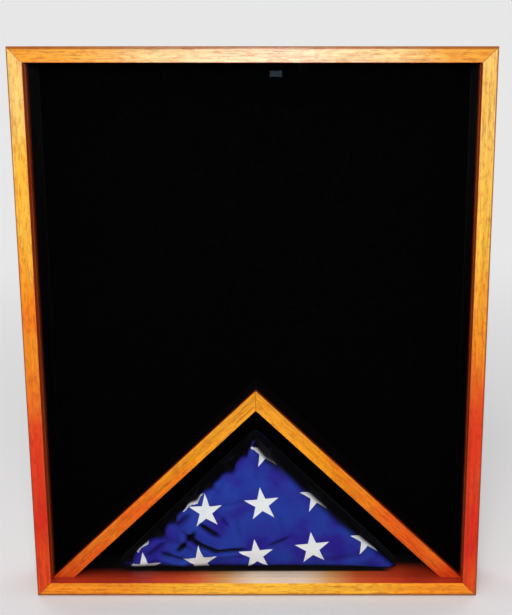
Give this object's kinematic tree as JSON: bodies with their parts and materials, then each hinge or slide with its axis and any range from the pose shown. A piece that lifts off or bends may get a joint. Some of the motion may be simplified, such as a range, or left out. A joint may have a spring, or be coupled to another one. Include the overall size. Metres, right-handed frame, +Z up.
{
  "type": "flag display case",
  "caption": "Upright mitred wooden shadow box with a glass front, a triangular house that holds a folded flag, open display space above it, and a felt-faced back that lifts off.",
  "frame": {"origin": "under the middle of the bottom rail, on the surface that the case stands on", "axes": "+X to the viewer's right, +Y from the glass towards the back, +Z up"},
  "size_m": [0.584, 0.0944, 0.711],
  "materials": {
    "frame_wood": "gloss",
    "bar_wood": "satin",
    "clear_glass": "polished",
    "nail_steel": "satin",
    "plywood": "matte",
    "black_felt": "matte",
    "brass": "satin",
    "zinc_steel": "satin",
    "black_rubber": "matte",
    "flag_cloth": "satin"
  },
  "bodies": {
    "case": {"top_rail": "frame_wood", "bottom_rail": "frame_wood", "left_stile": "frame_wood", "right_stile": "frame_wood", "glass_pane": "clear_glass", "left_divider": "bar_wood", "right_divider": "bar_wood", "corner_brads": "nail_steel", "divider_brads": "nail_steel", "turn_button_screws": "brass", "hanger_plate_left": "zinc_steel", "hanger_plate_right": "zinc_steel", "hanger_screws": "zinc_steel", "wall_bumpers": "black_rubber"},
    "back": {"back_panel": "plywood", "felt_board": "black_felt"},
    "flag": {"folded_flag": "flag_cloth"},
    "button_left_low": {"turn_button_left_low": "brass"},
    "button_left_high": {"turn_button_left_high": "brass"},
    "button_right_low": {"turn_button_right_low": "brass"},
    "button_right_high": {"turn_button_right_high": "brass"},
    "button_top": {"turn_button_top": "brass"},
    "button_bottom": {"turn_button_bottom": "brass"},
    "ring_left": {"hanger_ring_left": "zinc_steel"},
    "ring_right": {"hanger_ring_right": "zinc_steel"}
  },
  "joints": [
    {"name": "back_lift_off", "type": "slide", "parent": "case", "child": "back", "axis": [0, 1, 0], "range_m": [0, 0.15]},
    {"name": "flag_slide", "type": "slide", "parent": "case", "child": "flag", "axis": [0, 1, 0], "range_m": [-0.017, 0]},
    {"name": "button_left_low_turn", "type": "hinge", "parent": "case", "child": "button_left_low", "pos_m": [-0.285, 0.0454, 0.19], "axis": [0, 1, 0], "range_deg": [-90, 0]},
    {"name": "button_left_high_turn", "type": "hinge", "parent": "case", "child": "button_left_high", "pos_m": [-0.285, 0.0454, 0.44], "axis": [0, 1, 0], "range_deg": [-90, 0]},
    {"name": "button_right_low_turn", "type": "hinge", "parent": "case", "child": "button_right_low", "pos_m": [0.285, 0.0454, 0.19], "axis": [0, -1, 0], "range_deg": [-90, 0]},
    {"name": "button_right_high_turn", "type": "hinge", "parent": "case", "child": "button_right_high", "pos_m": [0.285, 0.0454, 0.44], "axis": [0, -1, 0], "range_deg": [-90, 0]},
    {"name": "button_top_turn", "type": "hinge", "parent": "case", "child": "button_top", "pos_m": [0, 0.0454, 0.704], "axis": [0, -1, 0], "range_deg": [-90, 0]},
    {"name": "button_bottom_turn", "type": "hinge", "parent": "case", "child": "button_bottom", "pos_m": [0, 0.0454, 0.007], "axis": [0, 1, 0], "range_deg": [-90, 0]},
    {"name": "ring_left_swing", "type": "hinge", "parent": "case", "child": "ring_left", "pos_m": [-0.285, 0.0475, 0.56], "axis": [1, 0, 0], "range_deg": [0, 180]},
    {"name": "ring_right_swing", "type": "hinge", "parent": "case", "child": "ring_right", "pos_m": [0.285, 0.0475, 0.56], "axis": [1, 0, 0], "range_deg": [0, 180]}
  ]
}
